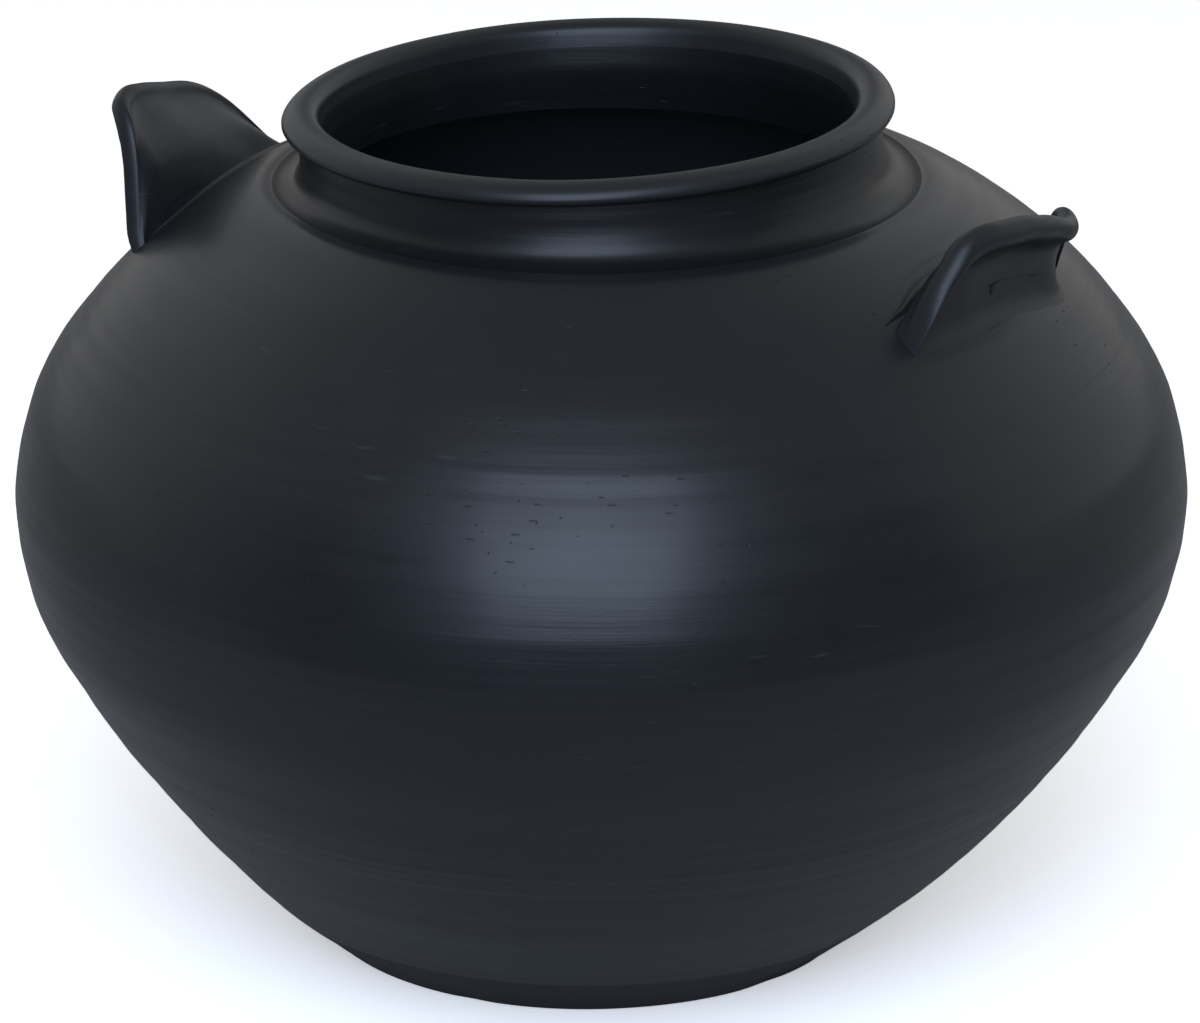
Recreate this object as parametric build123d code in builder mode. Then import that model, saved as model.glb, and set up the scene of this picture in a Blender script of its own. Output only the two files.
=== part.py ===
from build123d import *

# Hand-built black clay jar with two ear lugs, modelled as the pieces of clay it is luted from.
# Millimetres, +Z up. The origin is the centre of the flat face that the jar stands on.
# Azimuths are measured about +Z from -Y, the front, towards +X, the right.

import os
from math import acos, cos, degrees, hypot, radians, sin, tan

os.makedirs("parts", exist_ok=True)

# Body outline: a straight foot, then three tangent arcs that meet where the wall has these slopes.
# A slope is the angle of the wall's outward normal above the horizontal, in degrees.
belly_radius = 175.0
belly_height = 135.1
belly_arc = 79.0
lower_arc = 306.0
shoulder_arc = 149.3
foot_slope = -48.0
lower_slope = -27.8
upper_slope = 37.3
neck_slope = 68.4
wall = 8.0

# Base pat
floor_height = 9.0
heel_round = 2.5
floor_cove = 10.0

# Joints between the wall courses: the slopes where they meet, and the bevel of each face
base_joint_slope = -47.2
lower_joint_slope = -34.0
belly_joint_slope = -3.0
shoulder_joint_slope = 40.0
joint_bevel = 40.0
joint_reach = 14.0

# Neck collar and rim coil
mouth_radius = 79.0
neck_ridge = (88.6, 235.4)
neck_waist = (84.8, 241.2)
rim_joint = (84.6, 244.6)
rim_outer = (89.2, 249.8)
rim_crest = (84.4, 254.3)
rim_inner_height = 250.4

# Lugs: closed sections that stand side by side across each lug are lofted together.
# A station gives a section's place along the lug's width, the distance of its outer root from the
# axis, and how far its rim stands outside that root and above the shoulder. The two lugs were
# pinched by hand, so each has its own.
lug_azimuths = {"right": 59.5, "left": -110.0}
lug_stations = {
    "right": [
        (-40.5, 124.5, 3.0, 8.0),
        (-36.0, 127.0, 5.5, 16.0),
        (-28.0, 130.0, 6.5, 24.5),
        (-14.0, 132.4, 8.5, 30.5),
        (0.0, 133.5, 9.7, 29.3),
        (14.0, 134.3, 9.5, 26.2),
        (26.0, 133.8, 8.0, 25.0),
        (33.0, 130.5, 6.5, 22.0),
        (37.0, 126.5, 5.2, 16.0),
        (40.5, 122.5, 3.0, 8.0),
    ],
    "left": [
        (-43.5, 118.0, 4.0, 8.0),
        (-37.0, 122.5, 7.0, 14.5),
        (-30.0, 127.3, 8.5, 22.5),
        (-18.0, 131.5, 9.7, 31.5),
        (-3.0, 133.2, 10.2, 36.0),
        (11.0, 133.8, 11.2, 38.8),
        (21.0, 134.2, 11.5, 38.5),
        (29.0, 133.4, 8.5, 32.0),
        (35.0, 131.2, 5.5, 20.5),
        (39.0, 129.0, 3.0, 9.0),
    ],
}
lug_root_thickness = 12.0
lug_middle_thickness = 8.6
lug_rim_thickness = 7.5
lug_sunk = 5.0
# Share of the flare and of the rise that a section's faces have reached at their middle points
lug_middle_flare = 0.25
lug_middle_rise = 0.45

# Luting coils pressed into the lugs' roots
outer_luting_spread = 7.0
inner_luting_spread = 13.0
luting_climb = 9.0
luting_sunk = 3.0


def turned(length, slope):
    """Vector of a length along the outward normal of a slope."""
    return Vector(length * cos(radians(slope)), length * sin(radians(slope)))


belly_centre = Vector(belly_radius - belly_arc, belly_height)
lower_centre = belly_centre + turned(belly_arc - lower_arc, lower_slope)
shoulder_centre = belly_centre + turned(belly_arc - shoulder_arc, upper_slope)


def wall_point(slope, depth=0.0):
    """Point of the outline where its normal has a slope, or a depth below it in the wall."""
    if slope < lower_slope:
        return lower_centre + turned(lower_arc - depth, slope)
    if slope > upper_slope:
        return shoulder_centre + turned(shoulder_arc - depth, slope)
    return belly_centre + turned(belly_arc - depth, slope)


def foot_radius(height, depth=0.0):
    """Radius of the straight foot at a height, or of its inner face."""
    top = wall_point(foot_slope, depth)
    return top.X + (top.Y - height) * tan(radians(foot_slope))


def shoulder_height(radius):
    """Height of the shoulder's outer face at a radius."""
    return shoulder_centre.Y + (shoulder_arc**2 - (radius - shoulder_centre.X) ** 2) ** 0.5


def body_arcs(top_slope, depth=0.0):
    """Draw the body's tangent arcs from foot to neck, or those of its inner face."""
    spans = [
        (lower_centre, lower_arc, foot_slope, lower_slope),
        (belly_centre, belly_arc, lower_slope, upper_slope),
        (shoulder_centre, shoulder_arc, upper_slope, top_slope),
    ]
    for centre, radius, start, end in spans:
        CenterArc(centre, radius - depth, start, end - start)


def finish(builder, label):
    """Name a finished piece and write it."""
    builder.part.label = label
    export_step(builder.part, f"parts/{label}.step")


# Section of the whole body: floor, foot and wall up to the neck joint
neck_outer = wall_point(neck_slope)
neck_inner = wall_point(neck_slope, wall)
heel = (foot_radius(0), 0)
floor_edge = (foot_radius(floor_height, wall), floor_height)
with BuildSketch() as body_section:
    with BuildLine():
        body_arcs(neck_slope)
        Line(neck_outer, neck_inner)
        body_arcs(neck_slope, wall)
        Polyline(
            wall_point(foot_slope, wall),
            floor_edge,
            (0, floor_height),
            (0, 0),
            heel,
            wall_point(foot_slope),
        )
    make_face()
    corners = body_section.vertices()
    fillet(corners.sort_by_distance(heel)[0], heel_round)
    fillet(corners.sort_by_distance(floor_edge)[0], floor_cove)


def joint_line(slope, bevel=joint_bevel):
    """Outer and inner ends of a joint face that crosses the wall at a bevel."""
    across = turned(1, slope + bevel)
    on_wall = wall_point(slope)
    return on_wall + across * joint_reach, on_wall - across * (wall + joint_reach)


def wall_course(label, low_line, high_line):
    """Ring of the body between two joint lines."""
    with BuildPart() as course:
        with BuildSketch(Plane.XZ):
            add(body_section.sketch)
            with BuildLine():
                Polyline(low_line[0], high_line[0], high_line[1], low_line[1], close=True)
            make_face(mode=Mode.INTERSECT)
        revolve(axis=Axis.Z)
    finish(course, label)


base_joint = joint_line(base_joint_slope)
lower_joint = joint_line(lower_joint_slope)
belly_joint = joint_line(belly_joint_slope)
shoulder_joint = joint_line(shoulder_joint_slope)
neck_joint = joint_line(neck_slope, 0)
below_pat = (Vector(base_joint[0].X, -joint_reach), Vector(0, -joint_reach))
pat_top = (base_joint[0], Vector(0, base_joint[1].Y))

wall_course("base_pat", below_pat, pat_top)
wall_course("lower_wall_course", base_joint, lower_joint)
wall_course("lower_belly_course", lower_joint, belly_joint)
wall_course("upper_belly_course", belly_joint, shoulder_joint)
wall_course("shoulder_course", shoulder_joint, neck_joint)

# Neck collar: stands in the shoulder's opening, with a soft ridge round its root
mouth_slope = degrees(acos((mouth_radius - shoulder_centre.X) / (shoulder_arc - wall)))
with BuildPart() as neck_collar:
    with BuildSketch(Plane.XZ):
        with BuildLine():
            Spline(neck_outer, neck_ridge, neck_waist, rim_joint)
            Polyline(rim_joint, (mouth_radius, rim_joint[1]), wall_point(mouth_slope, wall))
            CenterArc(shoulder_centre, shoulder_arc - wall, mouth_slope, neck_slope - mouth_slope)
            Line(neck_inner, neck_outer)
        make_face()
    revolve(axis=Axis.Z)
finish(neck_collar, "neck_collar")

# Rim coil: rolled outwards over the collar
with BuildPart() as rim_coil:
    with BuildSketch(Plane.XZ):
        with BuildLine():
            Spline(rim_joint, rim_outer, rim_crest, (mouth_radius, rim_inner_height))
            Polyline((mouth_radius, rim_inner_height), (mouth_radius, rim_joint[1]), rim_joint)
        make_face()
    revolve(axis=Axis.Z)
finish(rim_coil, "rim_coil")

# Solid body without a hollow, which trims the lugs and their luting to the shoulder
with BuildPart() as solid_body:
    with BuildSketch(Plane.XZ):
        with BuildLine():
            body_arcs(neck_slope)
            Polyline(neck_outer, (0, neck_outer.Y), (0, 0), heel, wall_point(foot_slope))
        make_face()
    revolve(axis=Axis.Z)


def upright(azimuth, along):
    """Upright plane across a lug: x runs outwards, y up, and it stands a way along the lug's width."""
    outwards = Vector(sin(radians(azimuth)), -cos(radians(azimuth)), 0)
    tangent = Vector(cos(radians(azimuth)), sin(radians(azimuth)), 0)
    return Plane(origin=tangent * along, x_dir=outwards, z_dir=-tangent)


def draw_lug_section(root, along, flare, rise):
    """Draw one closed section of a lug: outer face, rounded rim, inner face and sunk root."""
    surface = shoulder_height(hypot(root, along))
    rim_radius = root + flare
    rim_height = surface + rise
    middle_radius = root + lug_middle_flare * flare
    middle_height = surface + lug_middle_rise * rise
    outer_root = (root, surface - lug_sunk)
    inner_root = (root - lug_root_thickness, surface - lug_sunk)
    outer_rim = (rim_radius, rim_height - 0.55 * lug_rim_thickness)
    crest = (rim_radius - 0.5 * lug_rim_thickness, rim_height)
    inner_rim = (rim_radius - lug_rim_thickness, rim_height - 0.4 * lug_rim_thickness)
    Spline(outer_root, (middle_radius, middle_height), outer_rim)
    ThreePointArc(outer_rim, crest, inner_rim)
    Spline(inner_rim, (middle_radius - lug_middle_thickness, middle_height), inner_root)
    Line(inner_root, outer_root)


def lug(label, azimuth, stations):
    """Flared ear lug whose rim rises from the shoulder at one end and falls to it at the other."""
    with BuildPart() as ear:
        for along, root, flare, rise in stations:
            with BuildSketch(upright(azimuth, along)):
                with BuildLine():
                    draw_lug_section(root, along, flare, rise)
                make_face()
        loft()
        add(solid_body.part, mode=Mode.SUBTRACT)
    finish(ear, label)
    return ear


def luting(label, azimuth, stations, set_back, spread, ear):
    """Coil pressed into the corner between a lug and the shoulder, spread out from the lug's root."""
    width = max(abs(along) for along, *rest in stations)
    with BuildPart() as coil:
        for along, outer_root, *rest in stations[1:-1]:
            root = outer_root - set_back
            toe = root + spread
            climb = luting_climb * (1 - 0.6 * (along / width) ** 2)
            with BuildSketch(upright(azimuth, along)):
                with BuildLine():
                    Polyline(
                        (root - 0.4 * spread, shoulder_height(hypot(root, along)) - luting_sunk),
                        (toe, shoulder_height(hypot(toe, along)) - 0.4 * luting_sunk),
                        (root - 0.1 * spread, shoulder_height(hypot(root, along)) + climb),
                        close=True,
                    )
                make_face()
        loft()
        add(solid_body.part, mode=Mode.SUBTRACT)
        add(ear.part, mode=Mode.SUBTRACT)
    finish(coil, label)


for side, azimuth in lug_azimuths.items():
    stations = lug_stations[side]
    ear = lug(f"{side}_lug", azimuth, stations)
    luting(f"{side}_lug_outer_luting", azimuth, stations, 0.0, outer_luting_spread, ear)
    luting(f"{side}_lug_inner_luting", azimuth, stations, lug_root_thickness, -inner_luting_spread, ear)
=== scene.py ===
"""A two-lugged black clay jar: the pieces it is luted from, their burnish, and a plain studio round it.

Metres, in the frame's own axes, with +Z up and -Y the front. An azimuth is measured about +Z from the
front towards +X. A slope is the angle of a wall's outward normal above the horizontal.
"""

import logging
import math
from dataclasses import dataclass, field
from enum import Enum

import bpy
import numpy as np
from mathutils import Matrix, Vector


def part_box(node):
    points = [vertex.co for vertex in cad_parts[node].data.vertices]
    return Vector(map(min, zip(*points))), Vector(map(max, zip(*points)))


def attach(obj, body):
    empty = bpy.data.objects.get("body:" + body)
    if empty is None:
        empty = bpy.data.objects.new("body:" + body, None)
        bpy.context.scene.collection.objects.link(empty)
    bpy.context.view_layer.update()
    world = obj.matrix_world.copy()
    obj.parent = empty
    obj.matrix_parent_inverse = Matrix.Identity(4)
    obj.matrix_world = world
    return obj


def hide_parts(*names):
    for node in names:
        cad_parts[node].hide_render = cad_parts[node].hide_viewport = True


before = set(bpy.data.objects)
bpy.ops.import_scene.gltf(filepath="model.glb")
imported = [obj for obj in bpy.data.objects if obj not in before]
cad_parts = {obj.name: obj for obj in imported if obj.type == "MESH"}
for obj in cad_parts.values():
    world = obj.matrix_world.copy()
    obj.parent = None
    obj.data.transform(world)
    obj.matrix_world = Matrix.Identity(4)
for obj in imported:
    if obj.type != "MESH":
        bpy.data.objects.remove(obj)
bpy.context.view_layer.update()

Array = np.ndarray
Colour = tuple[float, float, float, float]

LOG = logging.getLogger("jar")
BODY = "root"
SHARP_ANGLE = math.radians(40.0)


# Curves and meshes


def ramp(values: Array, start: float, end: float) -> Array:
    """Smooth step from 0 at start to 1 at end.

    Args:
        values: Where the step is wanted.
        start: Value at which the step leaves 0.
        end: Value at which the step reaches 1.

    Returns:
        The step at each value.
    """
    share = np.clip((values - start) / (end - start), 0.0, 1.0)
    return share * share * (3.0 - 2.0 * share)


def natural_spline(knots: Array, controls: Array, at: Array) -> Array:
    """Natural cubic spline through rows of values.

    Args:
        knots: Rising parameter of each row.
        controls: The rows that the spline passes through.
        at: Parameters at which it is wanted.

    Returns:
        One row for each parameter in at.
    """
    gaps = np.diff(knots)
    steps = np.diff(controls, axis=0) / gaps[:, None]
    count = len(knots)
    system = np.eye(count)
    bends = np.zeros_like(controls)
    for row in range(1, count - 1):
        system[row, row - 1 : row + 2] = gaps[row - 1], 2.0 * (gaps[row - 1] + gaps[row]), gaps[row]
        bends[row] = 6.0 * (steps[row] - steps[row - 1])
    bends = np.linalg.solve(system, bends)
    span = np.clip(np.searchsorted(knots, at, side="right") - 1, 0, count - 2)
    gap = gaps[span][:, None]
    after = ((at - knots[span]) / gaps[span])[:, None]
    before = 1.0 - after
    return (
        before * controls[span]
        + after * controls[span + 1]
        + gap**2 / 6.0 * ((before**3 - before) * bends[span] + (after**3 - after) * bends[span + 1])
    )


def level_spline(knots: Array, controls: Array, at: Array) -> Array:
    """Cubic through rows of values that never swings past its neighbours.

    Args:
        knots: Rising parameter of each row.
        controls: The rows that it passes through.
        at: Parameters at which it is wanted.

    Returns:
        One row for each parameter in at.
    """
    gaps = np.diff(knots)
    steps = np.diff(controls, axis=0) / gaps[:, None]
    slopes = np.zeros_like(controls)
    slopes[0], slopes[-1] = steps[0], steps[-1]
    before, after = steps[:-1], steps[1:]
    share = (gaps[1:] / (gaps[:-1] + gaps[1:]))[:, None]
    with np.errstate(divide="ignore", invalid="ignore"):
        mean = before * after / ((1.0 - share) * before + share * after)
    slopes[1:-1] = np.where(before * after > 0.0, mean, 0.0)
    span = np.clip(np.searchsorted(knots, at, side="right") - 1, 0, len(knots) - 2)
    gap = gaps[span][:, None]
    t = ((at - knots[span]) / gaps[span])[:, None]
    return (
        (1.0 + 2.0 * t) * (1.0 - t) ** 2 * controls[span]
        + t * (1.0 - t) ** 2 * gap * slopes[span]
        + t**2 * (3.0 - 2.0 * t) * controls[span + 1]
        + t**2 * (t - 1.0) * gap * slopes[span + 1]
    )


def softened(rows: Array, passes: int) -> Array:
    """Average rows with their neighbours, and keep both end rows.

    Args:
        rows: The rows, which are changed.
        passes: How many times they are averaged.

    Returns:
        The same rows.
    """
    for _ in range(passes):
        rows[1:-1] = 0.25 * rows[:-2] + 0.5 * rows[1:-1] + 0.25 * rows[2:]
    return rows


def curve_through(controls: Array, samples: int = 200) -> Array:
    """Smooth curve through points, with its knots spaced by the root of the chords.

    Args:
        controls: The points that it passes through.
        samples: How many points are wanted on it.

    Returns:
        The points on the curve.
    """
    controls = np.asarray(controls, float)
    chords = np.linalg.norm(np.diff(controls, axis=0), axis=1) ** 0.5
    knots = np.concatenate([[0.0], np.cumsum(chords)])
    return natural_spline(knots, controls, np.linspace(0.0, knots[-1], samples))


def respaced(points: Array, gap: float, crowding: float = 0.0) -> Array:
    """Points spaced along a line by its length.

    Args:
        points: The line, finely drawn.
        gap: Mean distance wanted between neighbours.
        crowding: How much closer together they stand at both ends, from 0 to below 1.

    Returns:
        The new points, with the same two ends.
    """
    lengths = np.concatenate([[0.0], np.cumsum(np.linalg.norm(np.diff(points, axis=0), axis=1))])
    count = max(2, math.ceil(lengths[-1] / gap) + 1)
    share = np.linspace(0.0, 1.0, count)
    share = share - crowding * np.sin(2.0 * np.pi * share) / (2.0 * np.pi)
    return np.stack([np.interp(share * lengths[-1], lengths, column) for column in points.T], axis=1)


def revolved(section: Array, segments: int) -> tuple[Array, list[list[int]]]:
    """Turn a section about the Z axis into a closed skin.

    Args:
        section: Rows of radius and height. It closes on itself unless both its ends lie on the axis.
        segments: How many steps the turn has.

    Returns:
        The vertices and the faces. Each ring of faces has segments faces, in the section's order.
    """
    azimuths = np.linspace(0.0, 2.0 * np.pi, segments, endpoint=False)
    vertices: list[Array] = []
    rings: list[list[int]] = []
    for radius, height in section:
        start = len(vertices)
        if radius < 1e-7:
            vertices.append(np.array([0.0, 0.0, height]))
            rings.append([start] * segments)
            continue
        heights = np.full(segments, height)
        vertices.extend(np.stack([radius * np.sin(azimuths), -radius * np.cos(azimuths), heights], axis=1))
        rings.append(list(range(start, start + segments)))
    pairs = list(zip(rings, rings[1:]))
    if section[0][0] > 1e-7:
        pairs.append((rings[-1], rings[0]))
    faces = []
    for low, high in pairs:
        for here in range(segments):
            there = (here + 1) % segments
            corners = [low[here], low[there], high[there], high[here]]
            faces.append(list(dict.fromkeys(corners)))
    return np.array(vertices), faces


def skinned(sections: Array) -> tuple[Array, list[list[int]]]:
    """Join closed sections that stand side by side, and cap both ends.

    Args:
        sections: Sections by points by three coordinates, each section running anticlockwise.

    Returns:
        The vertices and the faces.
    """
    count, around = sections.shape[:2]
    faces = []
    for row in range(count - 1):
        for here in range(around):
            there = (here + 1) % around
            low, high = row * around, (row + 1) * around
            faces.append([low + here, high + here, high + there, low + there])
    last = (count - 1) * around
    faces.append(list(range(around)))
    faces.append([last + here for here in reversed(range(around))])
    return sections.reshape(-1, 3), faces


def make_piece(name: str, vertices: Array, faces: list[list[int]]) -> bpy.types.Object:
    """Make one smooth mesh object in the scene.

    Args:
        name: The piece's name.
        vertices: Its points.
        faces: Its faces.

    Returns:
        The new object.
    """
    mesh = bpy.data.meshes.new(name)
    mesh.from_pydata(vertices.tolist(), [], faces)
    mesh.shade_smooth()
    mesh.set_sharp_from_angle(angle=SHARP_ANGLE)
    piece = bpy.data.objects.new(name, mesh)
    bpy.context.scene.collection.objects.link(piece)
    return piece


# Shape of the jar


@dataclass(frozen=True)
class Outline:
    """Turned outline of the wall: a straight foot, then three tangent arcs up to the neck."""

    belly_radius: float
    belly_height: float = 0.1351
    belly_arc: float = 0.079
    lower_arc: float = 0.306
    shoulder_arc: float = 0.1493
    foot_slope: float = -48.0
    lower_slope: float = -27.8
    upper_slope: float = 37.3
    neck_slope: float = 68.4
    wall: float = 0.008
    joint_bevel: float = 40.0

    @property
    def belly_centre(self) -> Array:
        """Centre of the belly's arc, as radius and height."""
        return np.array([self.belly_radius - self.belly_arc, self.belly_height])

    def next_centre(self, slope: float, arc: float) -> Array:
        """Centre of the arc that touches the belly's arc where the wall has a slope."""
        return self.belly_centre + (self.belly_arc - arc) * direction(np.array([slope]))[0]

    def points(self, slopes: Array, depth: float = 0.0) -> Array:
        """Points of the outline, or of a face a depth below it.

        Args:
            slopes: Slopes of the wall at the points, in degrees.
            depth: How far below the outer face they lie.

        Returns:
            Rows of radius and height.
        """
        slopes = np.atleast_1d(np.asarray(slopes, float))
        normals = direction(slopes)
        lower = self.next_centre(self.lower_slope, self.lower_arc) + (self.lower_arc - depth) * normals
        belly = self.belly_centre + (self.belly_arc - depth) * normals
        shoulder = self.next_centre(self.upper_slope, self.shoulder_arc)
        shoulder = shoulder + (self.shoulder_arc - depth) * normals
        low = (slopes < self.lower_slope)[:, None]
        high = (slopes > self.upper_slope)[:, None]
        return np.where(low, lower, np.where(high, shoulder, belly))

    def stretch(self, start: float, end: float, depth: float = 0.0) -> Array:
        """Fine line along the outline between two slopes, or below it."""
        return self.points(np.linspace(start, end, 400), depth)

    def foot_radius(self, height: float, depth: float = 0.0) -> float:
        """Radius of the straight foot at a height, or of its inner face."""
        radius, top = self.points(np.array([self.foot_slope]), depth)[0]
        return radius + (top - height) * math.tan(math.radians(self.foot_slope))

    def inner_slope(self, slope: float) -> float:
        """Slope at which a bevelled joint that starts outside at a slope meets the inner face."""
        arc = self.lower_arc if slope < self.lower_slope else self.belly_arc
        return slope - math.degrees(self.wall * math.tan(math.radians(self.joint_bevel)) / (arc - self.wall))

    def shoulder_height(self, radius: Array) -> Array:
        """Height of the shoulder's outer face at each radius."""
        centre = self.next_centre(self.upper_slope, self.shoulder_arc)
        return centre[1] + np.sqrt(self.shoulder_arc**2 - (radius - centre[0]) ** 2)


def direction(slopes: Array) -> Array:
    """Outward normals, as radius and height, of walls with slopes in degrees."""
    angles = np.radians(slopes)
    return np.stack([np.cos(angles), np.sin(angles)], axis=1)


@dataclass(frozen=True)
class Dimple:
    """A place where a hand or a knock left the wall a little in or out."""

    azimuth: float
    height: float
    width: float
    tall: float
    out: float


@dataclass(frozen=True)
class HandShape:
    """How the hand-built jar departs from a true turned form."""

    rim_lean: float = -0.0040
    shoulder_lean: float = 0.0013
    foot_lean: float = -0.0027
    rim_roll: float = 1.9
    rim_pitch: float = 0.75
    neck_groove: float = -0.0013
    groove_radius: float = 0.094
    groove_width: float = 0.004
    # Lobes round the jar, each as count, size, phase and turns of phase for each metre of height
    lobes: tuple[tuple[int, float, float, float], ...] = (
        (2, 0.00045, 0.6, 1.1),
        (3, 0.00035, 2.1, -1.7),
        (5, 0.00022, 4.0, 2.3),
        (9, 0.00010, 1.2, 3.9),
    )
    # Lines left by the turning jar, each as lines for each metre of height and size
    lines: tuple[tuple[float, float], ...] = (
        (31.0, 0.00016),
        (73.0, 0.00009),
        (151.0, 0.00005),
        (290.0, 0.000025),
    )
    dimples: tuple[Dimple, ...] = (
        Dimple(48.0, 0.026, 0.034, 0.012, 0.0011),
        Dimple(-52.0, 0.020, 0.030, 0.007, 0.0009),
        Dimple(38.0, 0.0035, 0.0045, 0.0030, -0.0011),
        Dimple(46.0, 0.0050, 0.0030, 0.0024, -0.0008),
        Dimple(57.0, 0.0030, 0.0060, 0.0030, -0.0009),
        Dimple(-24.0, 0.0025, 0.0035, 0.0025, -0.0006),
        Dimple(140.0, 0.0040, 0.0060, 0.0030, -0.0009),
        Dimple(-150.0, 0.0030, 0.0040, 0.0026, -0.0008),
        Dimple(20.0, 0.118, 0.040, 0.020, -0.0005),
        Dimple(-38.0, 0.165, 0.050, 0.024, -0.0005),
        Dimple(100.0, 0.150, 0.060, 0.030, -0.0007),
        Dimple(-140.0, 0.110, 0.055, 0.028, 0.0006),
        Dimple(165.0, 0.175, 0.050, 0.022, -0.0006),
    )

    def lean(self, heights: Array, near_neck: Array) -> Array:
        """How far the jar stands to the right.

        Args:
            heights: Heights of the points.
            near_neck: 1 for a point on the neck, 0 for one well away from it.

        Returns:
            The moves to the right.
        """
        foot = self.foot_lean * (1.0 - ramp(heights, 0.0, 0.060))
        shoulder = self.shoulder_lean * ramp(heights, 0.050, 0.210)
        return foot + shoulder + self.rim_lean * ramp(heights, 0.216, 0.250) * near_neck

    def relief(self, azimuths: Array, heights: Array, radii: Array) -> Array:
        """Distance that each point moves outwards.

        Args:
            azimuths: Azimuths of the points, in radians.
            heights: Heights of the points.
            radii: Distances of the points from the axis.

        Returns:
            The outward moves.
        """
        out = np.zeros_like(heights)
        for count, size, phase, climb in self.lobes:
            out += size * np.cos(count * azimuths + phase + 2.0 * np.pi * climb * heights)
        for place, (lines, size) in enumerate(self.lines):
            wander = 0.35 * np.sin(azimuths * (1 + place) + place)
            swell = 0.7 + 0.3 * np.cos(azimuths * 2.0 + 1.7 * place + 19.0 * heights)
            out += size * swell * np.sin(2.0 * np.pi * lines * heights + wander + 1.3 * place)
        for dimple in self.dimples:
            turn = np.angle(np.exp(1j * (azimuths - math.radians(dimple.azimuth))))
            across = turn * radii / dimple.width
            up = (heights - dimple.height) / dimple.tall
            out += dimple.out * np.exp(-0.5 * (across**2 + up**2))
        return out

    def bend(self, points: Array) -> Array:
        """Move points from the true turned form to the hand-built one.

        Args:
            points: Rows of x, y and z.

        Returns:
            The moved rows. The plane that the jar stands on stays flat.
        """
        radii = np.hypot(points[:, 0], points[:, 1])
        azimuths = np.arctan2(points[:, 0], -points[:, 1])
        heights = points[:, 2]
        out = self.relief(azimuths, heights, radii) * ramp(radii, 0.0, 0.080)
        scale = 1.0 + out / np.maximum(radii, 1e-6)
        bent = points * np.stack([scale, scale, np.ones_like(scale)], axis=1)
        near_neck = 1.0 - ramp(radii, 0.092, 0.112)
        rim = ramp(heights, 0.224, 0.247) * near_neck
        bent[:, 2] += rim * math.tan(math.radians(self.rim_roll)) * points[:, 0]
        bent[:, 2] += rim * math.tan(math.radians(self.rim_pitch)) * points[:, 1]
        groove = np.exp(-(((radii - self.groove_radius) / self.groove_width) ** 2))
        bent[:, 2] += self.neck_groove * groove * ramp(heights, 0.215, 0.226)
        bent[:, 0] += self.lean(heights, near_neck)
        return bent


# Shader expressions


class Value:
    """A socket of a material's nodes, on which Python's operators add Math nodes."""

    def __init__(self, graph: "Graph", socket: bpy.types.NodeSocket | None) -> None:
        """Wrap a socket.

        Args:
            graph: The graph that the socket is in.
            socket: The socket, or None for a node with no outputs.
        """
        self.graph = graph
        self.socket = socket

    def __add__(self, other: "Value | float") -> "Value":
        """Sum of this and another."""
        return self.graph.math("ADD", self, other)

    def __sub__(self, other: "Value | float") -> "Value":
        """This less another."""
        return self.graph.math("SUBTRACT", self, other)

    def __mul__(self, other: "Value | float") -> "Value":
        """Product of this and another."""
        return self.graph.math("MULTIPLY", self, other)

    def __rsub__(self, other: float) -> "Value":
        """A number less this."""
        return self.graph.math("SUBTRACT", other, self)

    __radd__ = __add__
    __rmul__ = __mul__

    def step(self, start: float, end: float) -> "Value":
        """Smooth step of this from 0 at start to 1 at end."""
        return self.graph.node(
            "ShaderNodeMapRange",
            {"interpolation_type": "SMOOTHSTEP"},
            {"Value": self, "From Min": start, "From Max": end},
        )


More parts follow.
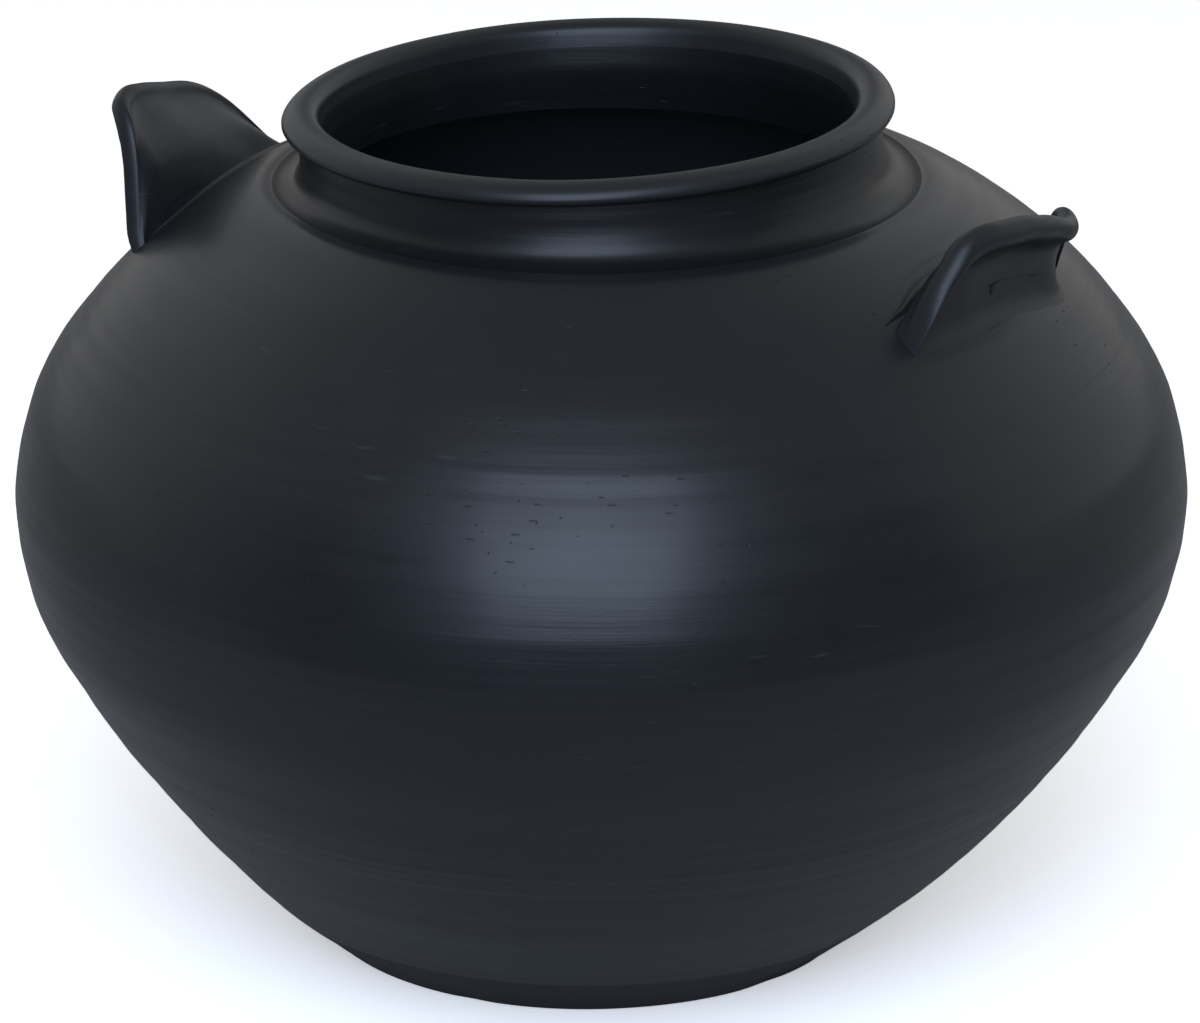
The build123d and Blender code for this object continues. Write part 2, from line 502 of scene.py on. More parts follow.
class Graph:
    """The nodes of one material or world."""

    def __init__(self, tree: bpy.types.NodeTree) -> None:
        """Start an empty graph in a node tree."""
        self.tree = tree
        tree.nodes.clear()

    def node(
        self,
        kind: str,
        settings: dict[str, object] | None = None,
        inputs: dict[str | int, object] | None = None,
        output: str | int = 0,
    ) -> Value:
        """Add a node.

        Args:
            kind: The node's type.
            settings: Its settings, which are set first. "stops" gives a ramp's places and colours.
            inputs: Values or links of its sockets, by name or place.
            output: Name or place of the output that is wanted.

        Returns:
            That output.
        """
        made = self.tree.nodes.new(kind)
        for name, setting in (settings or {}).items():
            if name == "stops":
                self.set_stops(made.color_ramp, setting)
            else:
                setattr(made, name, setting)
        for key, given in (inputs or {}).items():
            socket = made.inputs[key]
            if isinstance(given, Value):
                self.tree.links.new(given.socket, socket)
            else:
                socket.default_value = given
        return Value(self, made.outputs[output] if len(made.outputs) else None)

    @staticmethod
    def set_stops(colour_ramp: bpy.types.ColorRamp, stops: list[tuple[float, float]]) -> None:
        """Give a ramp its stops.

        Args:
            colour_ramp: The ramp.
            stops: Places and greys of its stops.
        """
        elements = colour_ramp.elements
        while len(elements) < len(stops):
            elements.new(0.5)
        for element, (place, grey) in zip(elements, stops):
            element.position = place
            element.color = (grey, grey, grey, 1.0)

    def math(self, operation: str, left: Value | float, right: Value | float) -> Value:
        """Add a Math node on two values."""
        return self.node("ShaderNodeMath", {"operation": operation}, {0: left, 1: right})

    def mix(self, factor: Value | float, first: Value | Colour, second: Value | Colour) -> Value:
        """Mix two colours.

        Args:
            factor: Share of the second.
            first: Colour at a factor of 0.
            second: Colour at a factor of 1.

        Returns:
            The mixed colour.
        """
        return self.node("ShaderNodeMix", {"data_type": "RGBA"}, {0: factor, 6: first, 7: second}, output=2)

    def coordinates(self) -> Value:
        """Place of the surface on the object, in metres."""
        return self.node("ShaderNodeTexCoord", output="Object")

    def stretched(self, place: Value, stretch: tuple[float, float, float]) -> Value:
        """Coordinates scaled by a factor along each axis."""
        return self.node("ShaderNodeVectorMath", {"operation": "MULTIPLY"}, {0: place, 1: stretch})

    def noise(self, place: Value, stretch: tuple[float, float, float], detail: float = 2.0) -> Value:
        """Noise between 0 and 1.

        Args:
            place: Coordinates that it is read at.
            stretch: Its waves for each metre along X, Y and Z.
            detail: How many finer layers it has.

        Returns:
            The noise.
        """
        scaled = self.stretched(place, stretch)
        return self.node("ShaderNodeTexNoise", {}, {"Vector": scaled, "Scale": 1.0, "Detail": detail})

    def dots(self, place: Value, stretch: tuple[float, float, float], radius: float) -> Value:
        """Scattered round dots.

        Args:
            place: Coordinates that they are scattered in.
            stretch: Cells for each metre along X, Y and Z, with one dot in each.
            radius: Radius of a dot as a share of its cell.

        Returns:
            1 in a dot and 0 outside.
        """
        scaled = self.stretched(place, stretch)
        distance = self.node("ShaderNodeTexVoronoi", {}, {"Vector": scaled, "Scale": 1.0}, output="Distance")
        return 1.0 - distance.step(0.6 * radius, radius)


# Finishes


class Polish(Enum):
    """How far a face of the clay was rubbed before it was fired. Two members paint light and shade instead:
    the darker tone on the neck and in the mouth is painted shade, and the lighter tone inside the jar is
    painted light.
    """

    BURNISHED = "burnished"
    RIM = "rim"
    LUG = "lug"
    SHADED_NECK = "shaded_neck"
    LIT_INSIDE = "inside"
    FOOT = "foot"


# Burnishing bands: how far they sway, the height that counts as 1, and the bands from foot to rim
BAND_SWAY = 0.016
BAND_TOP = 0.256
BAND_STOPS = [
    (0.0, 0.55),
    (0.12, 0.45),
    (0.30, 0.62),
    (0.49, 0.60),
    (0.53, 0.38),
    (0.60, 0.42),
    (0.66, 0.55),
    (0.73, 0.62),
    (0.745, 0.44),
    (0.80, 0.52),
    (0.84, 0.40),
    (0.95, 0.55),
]
# Dark grey mixed into the pits and dashes: painted shade in these hollows.
PIT_SHADE = (0.006, 0.006, 0.007, 1.0)
ASH = (0.11, 0.11, 0.115, 1.0)


@dataclass(frozen=True)
class ClayFinish:
    """Smoke-blackened clay with one degree of polish; the neck's darker tone and the inside's lighter tone
    paint shade and light.
    """

    tone: Colour
    smoke: Colour
    roughness: float
    roughness_swing: float
    line_depth: float
    grain_depth: float
    pit_depth: float
    specular: float
    coat: float
    coat_roughness: float
    band_swing: float = 0.0

    def bands(self, graph: Graph, place: Value) -> Value:
        """Broad turns of the burnishing stone: light and dark bands up the wall.

        Args:
            graph: The material's nodes.
            place: Coordinates on the object.

        Returns:
            Values from 0 to 1, about 0.5 on the mean.
        """
        height = graph.node("ShaderNodeSeparateXYZ", {}, {0: place}, output="Z")
        sway = graph.noise(place, (6.0, 6.0, 3.0), detail=0.0)
        share = (height + (sway - 0.5) * BAND_SWAY) * (1.0 / BAND_TOP)
        return graph.node("ShaderNodeValToRGB", {"stops": BAND_STOPS}, {0: share}, output="Color")

    def material(self, name: str) -> bpy.types.Material:
        """Make the material.

        Args:
            name: The material's name.

        Returns:
            The material.
        """
        made = bpy.data.materials.new(name)
        made.use_nodes = True
        graph = Graph(made.node_tree)
        place = graph.coordinates()
        cloud = graph.noise(place, (7.0, 7.0, 9.0), detail=3.0).step(0.35, 0.75)
        mottle = graph.noise(place, (55.0, 55.0, 80.0), detail=4.0)
        strokes = graph.noise(place, (9.0, 9.0, 420.0), detail=3.0)
        fine = graph.noise(place, (22.0, 22.0, 1500.0), detail=2.0)
        grain = graph.noise(place, (900.0, 900.0, 900.0), detail=2.0)
        scarce = graph.noise(place, (16.0, 16.0, 22.0), detail=1.0).step(0.52, 0.66)
        pits = graph.dots(place, (190.0, 190.0, 240.0), 0.075) * scarce
        dashes = graph.dots(place, (90.0, 90.0, 480.0), 0.12) * scarce
        specks = graph.dots(place, (45.0, 45.0, 45.0), 0.014)
        scuffs = graph.noise(place, (60.0, 60.0, 500.0), detail=5.0).step(0.66, 0.74) * cloud
        bands = self.bands(graph, place) - 0.5
        hollows = graph.math("MAXIMUM", pits, dashes)
        colour = graph.mix(cloud * 0.8 + (mottle - 0.5) * 0.6, self.tone, self.smoke)
        # Pits and dashes are darkened towards a dark grey: painted shade in the hollows.
        colour = graph.mix(hollows * 0.6, colour, PIT_SHADE)
        colour = graph.mix(specks * 0.5 + scuffs * 0.25, colour, ASH)
        swing = (strokes - 0.5) * 1.2 + (mottle - 0.5) * 0.8 + bands * self.band_swing
        rough = swing * self.roughness_swing + self.roughness + hollows * 0.15 + scuffs * 0.08
        height = strokes * self.line_depth + fine * (0.35 * self.line_depth) + grain * self.grain_depth
        height = height - hollows * self.pit_depth
        normal = graph.node("ShaderNodeBump", {}, {"Strength": 1.0, "Distance": 1.0, "Height": height})
        shader = graph.node(
            "ShaderNodeBsdfPrincipled",
            {},
            {
                "Base Color": colour,
                "Roughness": rough,
                "Specular IOR Level": self.specular,
                "Coat Weight": self.coat,
                "Coat Roughness": self.coat_roughness,
                "Normal": normal,
            },
        )
        graph.node("ShaderNodeOutputMaterial", {}, {"Surface": shader})
        return made


FINISHES = {
    Polish.BURNISHED: ClayFinish(
        tone=(0.0122, 0.0142, 0.0172, 1.0),
        smoke=(0.0172, 0.0186, 0.0204, 1.0),
        roughness=0.36,
        roughness_swing=0.10,
        line_depth=0.00007,
        grain_depth=0.000010,
        pit_depth=0.00012,
        specular=0.42,
        coat=0.10,
        coat_roughness=0.16,
        band_swing=0.8,
    ),
    Polish.RIM: ClayFinish(
        tone=(0.0135, 0.0152, 0.0176, 1.0),
        smoke=(0.0195, 0.0206, 0.0220, 1.0),
        roughness=0.42,
        roughness_swing=0.10,
        line_depth=0.00006,
        grain_depth=0.000014,
        pit_depth=0.00010,
        specular=0.42,
        coat=0.12,
        coat_roughness=0.18,
    ),
    Polish.LUG: ClayFinish(
        tone=(0.0135, 0.0152, 0.0176, 1.0),
        smoke=(0.0205, 0.0210, 0.0218, 1.0),
        roughness=0.44,
        roughness_swing=0.10,
        line_depth=0.00004,
        grain_depth=0.000020,
        pit_depth=0.00010,
        specular=0.42,
        coat=0.08,
        coat_roughness=0.22,
    ),
    # Darker tone for the collar: painted shade for the recess under the rim and for the inner wall of the
    # mouth.
    Polish.SHADED_NECK: ClayFinish(
        tone=(0.0075, 0.0085, 0.0100, 1.0),
        smoke=(0.0100, 0.0108, 0.0120, 1.0),
        roughness=0.42,
        roughness_swing=0.12,
        line_depth=0.00007,
        grain_depth=0.000014,
        pit_depth=0.00012,
        specular=0.42,
        coat=0.10,
        coat_roughness=0.20,
    ),
    # Much lighter tone than the outside: painted light, standing in for the light that falls inside the jar.
    Polish.LIT_INSIDE: ClayFinish(
        tone=(0.0700, 0.0780, 0.0890, 1.0),
        smoke=(0.0850, 0.0920, 0.1020, 1.0),
        roughness=0.62,
        roughness_swing=0.10,
        line_depth=0.00016,
        grain_depth=0.000045,
        pit_depth=0.00018,
        specular=0.35,
        coat=0.0,
        coat_roughness=0.3,
    ),
    Polish.FOOT: ClayFinish(
        tone=(0.0115, 0.0122, 0.0134, 1.0),
        smoke=(0.0200, 0.0198, 0.0196, 1.0),
        roughness=0.50,
        roughness_swing=0.10,
        line_depth=0.00009,
        grain_depth=0.000035,
        pit_depth=0.00018,
        specular=0.40,
        coat=0.03,
        coat_roughness=0.25,
    ),
}


# Sub-assemblies


@dataclass
class Workshop:
    """What every sub-assembly shares: the outline, the hand's departures from it, and the materials."""

    outline: Outline
    hand: HandShape
    materials: dict[Polish, bpy.types.Material] = field(default_factory=dict)

    def material(self, polish: Polish) -> bpy.types.Material:
        """Material of one degree of polish, made when it is first asked for."""
        if polish not in self.materials:
            self.materials[polish] = FINISHES[polish].material(f"{polish.value}_black_clay")
        return self.materials[polish]

    def settle(self, piece: bpy.types.Object, node: str) -> bpy.types.Object:
        """Put a piece in the frame, in the place of the node that it stands for.

        Args:
            piece: The finished piece.
            node: The node, which is hidden in its place.

        Returns:
            The piece.
        """
        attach(piece, BODY)
        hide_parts(node)
        LOG.info("%s: %d faces", piece.name, len(piece.data.polygons))
        return piece


@dataclass
class TurnedBody:
    """The courses of the wall from the base pat to the rim, each a closed turned ring."""

    shop: Workshop
    segments: int = 400
    ring_gap: float = 0.0013
    inner_gap: float = 0.0045
    neck_gap: float = 0.0007
    bore_gap: float = 0.0012
    crowding: float = 0.85
    joint_slopes: tuple[float, ...] = (-47.2, -34.0, -3.0, 40.0)
    floor_height: float = 0.009
    heel_round: float = 0.0025
    floor_cove: float = 0.010
    collar_line: tuple[tuple[float, float], ...] = (
        (0.0926, 0.2311),
        (0.0903, 0.2311),
        (0.0885, 0.2317),
        (0.0872, 0.2328),
        (0.0862, 0.2344),
        (0.0856, 0.2364),
        (0.0852, 0.2392),
        (0.0849, 0.2430),
    )
    rim_joint: tuple[float, float] = (0.0847, 0.2472)
    rim_line: tuple[tuple[float, float], ...] = (
        (0.0866, 0.2478),
        (0.0885, 0.2489),
        (0.0894, 0.2505),
        (0.0888, 0.2522),
        (0.0868, 0.2536),
        (0.0843, 0.2543),
        (0.0817, 0.2541),
        (0.0797, 0.2531),
        (0.0786, 0.2514),
        (0.0781, 0.2492),
    )
    bore_line: tuple[tuple[float, float], ...] = (
        (0.0777, 0.2472),
        (0.0773, 0.2430),
        (0.0776, 0.2365),
        (0.0790, 0.2283),
    )
    mouth_radius: float = 0.079

    def turn(
        self, node: str, outer: Array, inner: Array, outside: Polish, inside: Polish = Polish.LIT_INSIDE
    ) -> bpy.types.Object:
        """Turn one ring of the wall, dress it and settle it.

        Args:
            node: The node that it stands for.
            outer: Its outer line, drawn upwards.
            inner: Its inner line, drawn downwards.
            outside: Polish of its outer face.
            inside: Polish of its inner face; the default is a lighter tone painted as the light that falls
                inside the jar.

        Returns:
            The piece.
        """
        vertices, faces = revolved(np.concatenate([outer, inner]), self.segments)
        piece = make_piece(f"clay_{node}", self.shop.hand.bend(vertices), faces)
        piece.data.materials.append(self.shop.material(outside))
        piece.data.materials.append(self.shop.material(inside))
        rings = np.arange(len(faces)) // self.segments
        piece.data.polygons.foreach_set("material_index", (rings >= len(outer) - 1).astype(int))
        return self.shop.settle(piece, node)

    def base_pat(self) -> bpy.types.Object:
        """The flat disc that the jar stands on, with the start of its wall."""
        outline = self.shop.outline
        joint = self.joint_slopes[0]
        share = math.tan(math.radians(90.0 + outline.foot_slope) / 2.0)
        heel_centre = np.array([outline.foot_radius(0.0) - self.heel_round * share, self.heel_round])
        heel = heel_centre + self.heel_round * direction(np.linspace(-90.0, outline.foot_slope, 12))
        under = np.linspace((0.0, 0.0), (heel[0][0], 0.0), 40)[:-1]
        wall = np.concatenate([heel[-1:], outline.stretch(outline.foot_slope, joint)])
        wall = respaced(wall, self.ring_gap, 0.5)
        outer = np.concatenate([under, heel, wall[1:]])
        cove_radius = outline.foot_radius(self.floor_height, outline.wall) - self.floor_cove * share
        cove_centre = np.array([cove_radius, self.floor_height + self.floor_cove])
        cove = cove_centre + self.floor_cove * direction(np.linspace(outline.foot_slope, -90.0, 14))
        inner_top = outline.points(np.array([outline.inner_slope(joint)]), outline.wall)
        floor = np.linspace((cove_radius, self.floor_height), (0.0, self.floor_height), 24)[1:]
        return self.turn("base_pat", outer, np.concatenate([inner_top, cove, floor]), Polish.FOOT)

    def course(self, node: str, low: float, high: float) -> bpy.types.Object:
        """One course of the wall between two joints.

        Args:
            node: The node that it stands for.
            low: Slope of the wall at its lower joint.
            high: Slope of the wall at its upper joint.

        Returns:
            The piece.
        """
        outline = self.shop.outline
        outer = respaced(outline.stretch(low, high), self.ring_gap, self.crowding)
        inner_high = high if high == outline.neck_slope else outline.inner_slope(high)
        inner = outline.stretch(inner_high, outline.inner_slope(low), outline.wall)
        return self.turn(node, outer, respaced(inner, self.inner_gap), Polish.BURNISHED)

    def collar(self) -> bpy.types.Object:
        """The short neck, with a soft ridge round its root."""
        outline = self.shop.outline
        root = outline.points(np.array([outline.neck_slope]))
        line = curve_through(np.concatenate([root, self.collar_line, [self.rim_joint]]))
        outer = respaced(line, self.neck_gap, 0.5)
        centre = outline.next_centre(outline.upper_slope, outline.shoulder_arc)
        arc = outline.shoulder_arc - outline.wall
        mouth_slope = math.degrees(math.acos((self.mouth_radius - centre[0]) / arc))
        bore = respaced(curve_through(self.bore_line), self.bore_gap)
        under = respaced(outline.stretch(mouth_slope, outline.neck_slope, outline.wall), self.inner_gap)
        inner = np.concatenate([bore, under[1:]])
        # Both faces of the collar take the darker tone: painted shade for the recess under the rim and for
        # the inner wall of the mouth.
        return self.turn("neck_collar", outer, inner, Polish.SHADED_NECK, Polish.SHADED_NECK)

    def rim(self) -> bpy.types.Object:
        """The coil that is rolled outwards over the collar."""
        inner_joint = self.bore_line[0]
        line = curve_through(np.concatenate([[self.rim_joint], self.rim_line, [inner_joint]]))
        across = np.linspace(inner_joint, self.rim_joint, 5)[1:-1]
        return self.turn("rim_coil", respaced(line, self.neck_gap, 0.3), across, Polish.RIM)

    def build(self) -> list[bpy.types.Object]:
        """Build every ring, from the base up."""
        names = ("lower_wall_course", "lower_belly_course", "upper_belly_course", "shoulder_course")
        slopes = (*self.joint_slopes, self.shop.outline.neck_slope)
        pieces = [self.base_pat()]
        pieces += [self.course(name, low, high) for name, low, high in zip(names, slopes, slopes[1:])]
        return pieces + [self.collar(), self.rim()]


@dataclass(frozen=True)
class Station:
    """One section across a lug.

    along is its place on the lug's width and root the distance of its outer root from the axis. flare
    and rise say how far its rim stands outside the root and above the shoulder there. bead is the
    rim's thickness, thick the lug's at its root, outer and inner the spread of the luting on each
    side, and climb the luting's height.
    """

    along: float
    root: float
    flare: float
    rise: float
    bead: float
    thick: float
    outer: float
    inner: float
    climb: float


@dataclass
class EarLug:
    """One flared ear lug and the luting that is pressed into its two root corners."""

    shop: Workshop
    side: str
    azimuth: float
    stations: tuple[Station, ...]
    sections: int = 120
    points: int = 130
    sunk: float = 0.004
    toe: float = 0.00025
    toe_reach: float = 0.006
    softening: int = 3

    def rails(self, station: Station) -> Array:
        """Points of one section, from the outer toe over the rim to the inner toe.

        Args:
            station: The section's sizes.

        Returns:
            Rows of distance outwards, place along the width, and height above the shoulder below.
        """
        along, root, bead = station.along, station.root, station.bead
        flare, rise = station.flare, station.rise
        shoulder = self.shop.outline.shoulder_height
        foot = shoulder(np.hypot(root, along))
        back = root - station.thick
        rim = root + flare
        drop = min(bead, 0.42 * max(rise, 0.0005))
        climb = min(station.climb, 0.26 * max(rise, 0.0005))
        outer_neck = rise - 0.84 * drop
        inner_neck = rise - 0.62 * drop
        leaning = rim - 1.04 * bead - back
        # Each row is a distance outwards, then a height above the root or else above the shoulder below
        rows = [
            (root + station.outer + self.toe_reach, None, -self.toe),
            (root + station.outer, None, 0.0),
            (root + 0.72 * station.outer, None, 0.04 * climb),
            (root + 0.40 * station.outer, None, 0.22 * climb),
            (root + 0.12 * station.outer, climb, None),
            (root + 0.10 * flare, 0.58 * outer_neck, None),
            (root + 0.38 * flare, 0.86 * outer_neck, None),
            (rim - 0.20 * bead, outer_neck, None),
            (rim, rise - 0.46 * drop, None),
            (rim - 0.14 * bead, rise - 0.12 * drop, None),
            (rim - 0.48 * bead, rise, None),
            (rim - 0.86 * bead, rise - 0.20 * drop, None),
            (rim - 1.04 * bead, inner_neck, None),
            (back + 0.45 * leaning, 0.73 * inner_neck, None),
            (back + 0.18 * leaning, 0.47 * inner_neck, None),
            (back - 0.12 * station.inner, 0.9 * climb, None),
            (back - 0.40 * station.inner, None, 0.22 * climb),
            (back - 0.72 * station.inner, None, 0.04 * climb),
            (back - station.inner, None, 0.0),
            (back - station.inner - self.toe_reach, None, -self.toe),
        ]
        placed = []
        for outwards, above_foot, above_shoulder in rows:
            if above_shoulder is None:
                above_shoulder = foot + above_foot - shoulder(np.hypot(outwards, along))
            placed.append((outwards, along, above_shoulder))
        return np.array(placed)

    def surface(self) -> Array:
        """The lug's whole skin.

        Returns:
            Sections by points by distance outwards, place along the width and height.
        """
        places = np.array([station.along for station in self.stations])
        controls = np.array([self.rails(station) for station in self.stations])
        flat = controls.reshape(len(places), -1)
        wanted = np.linspace(places[0], places[-1], self.sections)
        rails = softened(level_spline(places, flat, wanted), self.softening).reshape(self.sections, -1, 3)
        rails[..., 2] += self.shop.outline.shoulder_height(np.hypot(rails[..., 0], rails[..., 1]))
        return np.array([curve_through(rail, self.points) for rail in rails])

    def pinched(self, skin: Array) -> Array:
        """Add the soft facets that fingers leave.

        Args:
            skin: The lug's skin.

        Returns:
            The skin, moved outwards or inwards by less than a millimetre away from its toes.
        """
        shoulder = self.shop.outline.shoulder_height(np.hypot(skin[..., 0], skin[..., 1]))
        clear = ramp(skin[..., 2] - shoulder, 0.001, 0.010)
        press = np.sin(120.0 * skin[..., 1] + 1.0) * np.sin(150.0 * skin[..., 2] + 2.0)
        press += 0.5 * np.sin(230.0 * skin[..., 1] - 170.0 * skin[..., 2])
        moved = skin.copy()
        moved[..., 0] += 0.00018 * press * clear
        return moved

    def placed(self, local: Array) -> Array:
        """Turn local places into the frame and bend them with the jar.

        Args:
            local: Sections by points by distance outwards, place along the width and height.

        Returns:
            The same points in the frame.
        """
        angle = math.radians(self.azimuth)
        outwards = np.array([math.sin(angle), -math.cos(angle), 0.0])
        along = np.array([math.cos(angle), math.sin(angle), 0.0])
        points = local[..., :1] * outwards + local[..., 1:2] * along
        points[..., 2] = local[..., 2]
        return self.shop.hand.bend(points.reshape(-1, 3)).reshape(points.shape)

    def sunk_below(self, column: Array) -> Array:
        """Move a column of points down into the shoulder's wall.

        Args:
            column: One point of each section.

        Returns:
            The moved points.
        """
        moved = column.copy()
        radii = np.hypot(column[..., 0], column[..., 1])
        moved[..., 2] = self.shop.outline.shoulder_height(radii) - self.sunk
        return moved

    def build(self) -> list[bpy.types.Object]:
        """Build the lug and its two lutings from one skin."""
        skin = self.pinched(self.surface())
        total = len(self.rails(self.stations[0])) - 1
        start = round(4.0 / total * (self.points - 1))
        end = round((total - 4.0) / total * (self.points - 1))
        outer_foot = self.sunk_below(skin[:, start])
        inner_foot = self.sunk_below(skin[:, end])
        parts = {
            f"{self.side}_lug": [skin[:, start : end + 1], inner_foot[:, None], outer_foot[:, None]],
            f"{self.side}_lug_outer_luting": [skin[:, : start + 1], outer_foot[:, None]],
            f"{self.side}_lug_inner_luting": [skin[:, end:], inner_foot[:, None]],
        }
        pieces = []
        for node, columns in parts.items():
            vertices, faces = skinned(self.placed(np.concatenate(columns, axis=1)))
            piece = make_piece(f"clay_{node}", vertices, faces)
            piece.data.materials.append(self.shop.material(Polish.LUG))
            pieces.append(self.shop.settle(piece, node))
        return pieces


RIGHT_STATIONS = (
    Station(-0.0450, 0.1240, 0.0020, -0.003, 0.0060, 0.0062, 0.0020, 0.0020, -0.0010),
    Station(-0.0432, 0.1246, 0.0046, 0.0045, 0.0071, 0.0064, 0.0025, 0.0025, 0.0010),
    Station(-0.0405, 0.1252, 0.0064, 0.0128, 0.0076, 0.0068, 0.0030, 0.0030, 0.0030),
    Station(-0.0360, 0.1262, 0.0078, 0.0205, 0.0080, 0.0070, 0.0035, 0.0040, 0.0050),
    Station(-0.0280, 0.1278, 0.0092, 0.0286, 0.0086, 0.0085, 0.0040, 0.0060, 0.0060),
    Station(-0.0180, 0.1295, 0.0110, 0.0304, 0.0084, 0.0100, 0.0040, 0.0075, 0.0065),
    Station(-0.0060, 0.1303, 0.0122, 0.0292, 0.0082, 0.0105, 0.0035, 0.0080, 0.0065),
    Station(0.0060, 0.1310, 0.0128, 0.0272, 0.0080, 0.0105, 0.0035, 0.0080, 0.0065),
    Station(0.0170, 0.1320, 0.0118, 0.0252, 0.0078, 0.0100, 0.0035, 0.0080, 0.0060),
    Station(0.0260, 0.1326, 0.0092, 0.0247, 0.0076, 0.0095, 0.0030, 0.0070, 0.0055),
    Station(0.0310, 0.1322, 0.0064, 0.0255, 0.0074, 0.0085, 0.0030, 0.0060, 0.0050),
    Station(0.0350, 0.1308, 0.0042, 0.0240, 0.0070, 0.0075, 0.0030, 0.0050, 0.0045),
    Station(0.0380, 0.1288, 0.0034, 0.0150, 0.0066, 0.0065, 0.0030, 0.0040, 0.0030),
    Station(0.0405, 0.1265, 0.0030, 0.0050, 0.0060, 0.0060, 0.0020, 0.0030, 0.0010),
    Station(0.0445, 0.1245, 0.0010, -0.003, 0.0040, 0.0050, 0.0020, 0.0020, -0.0010),
)
LEFT_STATIONS = (
    Station(-0.0520, 0.1120, 0.0010, -0.003, 0.0040, 0.0060, 0.0030, 0.0080, -0.0010),
    Station(-0.0460, 0.1155, 0.0050, -0.0015, 0.0056, 0.0080, 0.0030, 0.0130, 0.0008),
    Station(-0.0410, 0.1208, 0.0072, 0.0035, 0.0062, 0.0085, 0.0040, 0.0150, 0.0030),
    Station(-0.0370, 0.1245, 0.0084, 0.0120, 0.0064, 0.0090, 0.0050, 0.0150, 0.0050),
    Station(-0.0310, 0.1285, 0.0100, 0.0225, 0.0066, 0.0095, 0.0065, 0.0140, 0.0060),
    Station(-0.0200, 0.1320, 0.0113, 0.0309, 0.0066, 0.0100, 0.0080, 0.0120, 0.0065),
    Station(-0.0030, 0.1335, 0.0122, 0.0352, 0.0066, 0.0100, 0.0080, 0.0100, 0.0065),
    Station(0.0100, 0.1338, 0.0134, 0.0385, 0.0066, 0.0095, 0.0080, 0.0080, 0.0060),
    Station(0.0170, 0.1340, 0.0138, 0.0400, 0.0066, 0.0090, 0.0080, 0.0070, 0.0055),
    Station(0.0250, 0.1340, 0.0122, 0.0397, 0.0064, 0.0080, 0.0070, 0.0060, 0.0050),
    Station(0.0310, 0.1336, 0.0082, 0.0355, 0.0060, 0.0066, 0.0060, 0.0045, 0.0045),
    Station(0.0350, 0.1330, 0.0050, 0.0265, 0.0050, 0.0042, 0.0050, 0.0025, 0.0035),
    Station(0.0378, 0.1326, 0.0042, 0.0155, 0.0046, 0.0030, 0.0040, 0.0018, 0.0020),
    Station(0.0400, 0.1322, 0.0038, 0.0055, 0.0042, 0.0028, 0.0030, 0.0015, 0.0006),
    Station(0.0425, 0.1305, 0.0010, -0.003, 0.0036, 0.0030, 0.0030, 0.0015, -0.0010),
)


# Studio


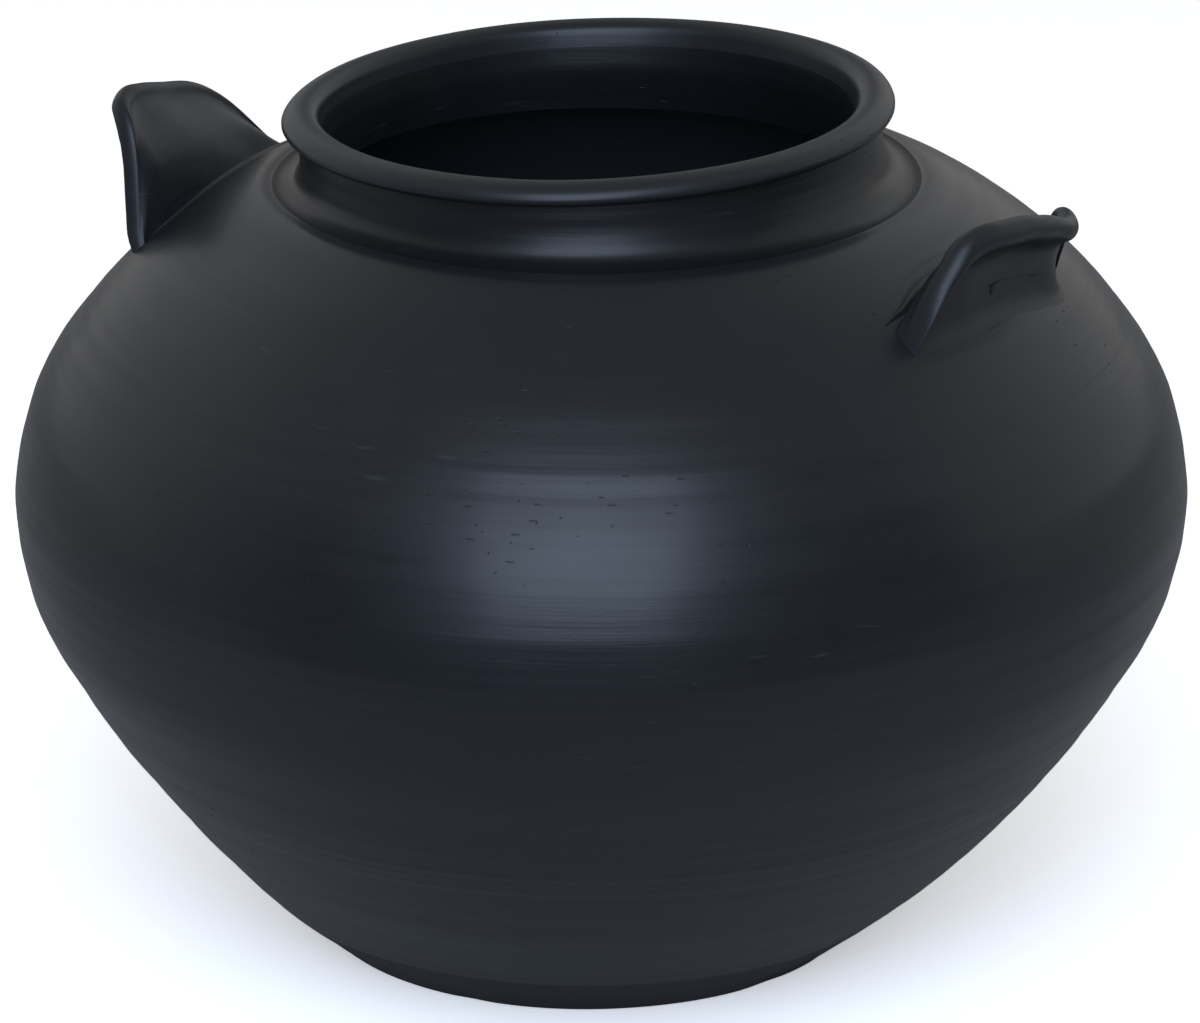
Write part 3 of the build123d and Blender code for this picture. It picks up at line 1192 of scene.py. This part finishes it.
@dataclass(frozen=True)
class Studio:
    """Plain pale floor, soft surroundings, one large window light and the camera."""

    middle: float
    camera_pitch: float = 20.3
    camera_distance: float = 1.5346
    lens: float = 153.0
    floor_size: float = 12.0
    window_azimuth: float = -4.0
    window_elevation: float = 34.0
    window_distance: float = 2.0
    window_width: float = 1.36
    window_height: float = 1.90
    window_power: float = 27.0
    window_tint: tuple[float, float, float] = (0.74, 0.90, 1.18)

    def camera(self) -> None:
        """Place the camera in front of the jar, looking a little down on it."""
        data = bpy.data.cameras.new("camera")
        data.lens = self.lens
        data.sensor_width = 36.0
        camera = bpy.data.objects.new("camera", data)
        pitch = math.radians(self.camera_pitch)
        back = Vector((0.0, -math.cos(pitch), math.sin(pitch)))
        camera.location = Vector((0.0003, 0.0, self.middle)) + self.camera_distance * back
        camera.rotation_euler = (math.pi / 2.0 - pitch, 0.0, 0.0)
        bpy.context.scene.collection.objects.link(camera)
        bpy.context.scene.camera = camera

    def floor(self) -> None:
        """Lay the floor, which looks white and throws back only a little light on the jar."""
        half = self.floor_size / 2.0
        corners = np.array([(-half, -half, 0.0), (half, -half, 0.0), (half, half, 0.0), (-half, half, 0.0)])
        floor = make_piece("floor", corners, [[0, 1, 2, 3]])
        paper = bpy.data.materials.new("pale_paper")
        paper.use_nodes = True
        graph = Graph(paper.node_tree)
        seen = graph.node("ShaderNodeLightPath", output="Is Camera Ray")
        forwards = graph.node("ShaderNodeSeparateXYZ", {}, {0: graph.coordinates()}, output="Y")
        far_front = (0.0 - forwards).step(0.22, 0.70)
        greys = (0.56, 0.55, 0.54, 1.0), (0.10, 0.10, 0.10, 1.0)
        dull = graph.node("ShaderNodeBsdfDiffuse", {}, {"Color": graph.mix(far_front, *greys)})
        white = graph.node("ShaderNodeBsdfDiffuse", {}, {"Color": (1.7, 1.68, 1.65, 1.0)})
        glow = graph.node("ShaderNodeEmission", {}, {"Color": (1.0, 1.0, 1.0, 1.0), "Strength": 0.38})
        bright = graph.node("ShaderNodeAddShader", {}, {0: white, 1: glow})
        shader = graph.node("ShaderNodeMixShader", {}, {0: seen, 1: dull, 2: bright})
        graph.node("ShaderNodeOutputMaterial", {}, {"Surface": shader})
        floor.data.materials.append(paper)

    def surroundings(self) -> None:
        """Surround the jar with pale walls at its sides and back, and a darker room in front."""
        world = bpy.data.worlds.new("studio")
        world.use_nodes = True
        bpy.context.scene.world = world
        graph = Graph(world.node_tree)
        way = graph.node("ShaderNodeTexCoord", output="Generated")
        level = graph.node("ShaderNodeVectorMath", {"operation": "MULTIPLY"}, {0: way, 1: (1.0, 1.0, 0.0)})
        level = graph.node("ShaderNodeVectorMath", {"operation": "NORMALIZE"}, {0: level})
        right = graph.node("ShaderNodeSeparateXYZ", {}, {0: level}, output="X")
        behind = graph.node("ShaderNodeSeparateXYZ", {}, {0: level}, output="Y")
        up = graph.node("ShaderNodeSeparateXYZ", {}, {0: way}, output="Z")
        right_panel = behind.step(-0.32, -0.22) * right.step(0.0, 0.3)
        left_panel = behind.step(-0.60, 0.30) * (0.0 - right).step(0.0, 0.3)
        back = behind.step(0.0, 0.9)
        walls = right_panel * 0.36 + left_panel * 0.32 + back * 0.12 + 0.09
        ceiling = up.step(0.55, 0.95)
        light = walls * (1.0 - ceiling) + ceiling * 0.235
        seen = graph.node("ShaderNodeLightPath", output="Is Camera Ray")
        strength = graph.math("MAXIMUM", seen, light)
        room = graph.node("ShaderNodeBackground", {}, {"Color": (1.0, 1.0, 1.0, 1.0), "Strength": strength})
        graph.node("ShaderNodeOutputWorld", {}, {"Surface": room})

    def window(self) -> None:
        """Hang the large window light in front of the jar and above the camera."""
        data = bpy.data.lights.new("window", "AREA")
        data.shape = "RECTANGLE"
        data.size = self.window_width
        data.size_y = self.window_height
        data.energy = self.window_power
        data.color = self.window_tint
        light = bpy.data.objects.new("window", data)
        azimuth = math.radians(self.window_azimuth)
        elevation = math.radians(self.window_elevation)
        flat = math.cos(elevation)
        way = Vector((flat * math.sin(azimuth), -flat * math.cos(azimuth), math.sin(elevation)))
        light.location = Vector((0.0, 0.0, self.middle)) + self.window_distance * way
        light.rotation_euler = way.to_track_quat("Z", "Y").to_euler()
        light.visible_camera = False
        bpy.context.scene.collection.objects.link(light)

    def build(self) -> None:
        """Build the whole studio."""
        self.camera()
        self.floor()
        self.surroundings()
        self.window()
        bpy.context.scene.view_settings.view_transform = "Standard"
        LOG.info("studio ready")


def main() -> None:
    """Build the jar and its studio."""
    logging.basicConfig(level=logging.INFO, format="%(name)s: %(message)s")
    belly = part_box("lower_belly_course")[1].x
    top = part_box("rim_coil")[1].z
    shop = Workshop(Outline(belly_radius=belly), HandShape())
    Studio(middle=0.49 * top).build()
    TurnedBody(shop).build()
    EarLug(shop, "right", 59.5, RIGHT_STATIONS).build()
    EarLug(shop, "left", -110.0, LEFT_STATIONS).build()


if __name__ == "__main__":
    main()
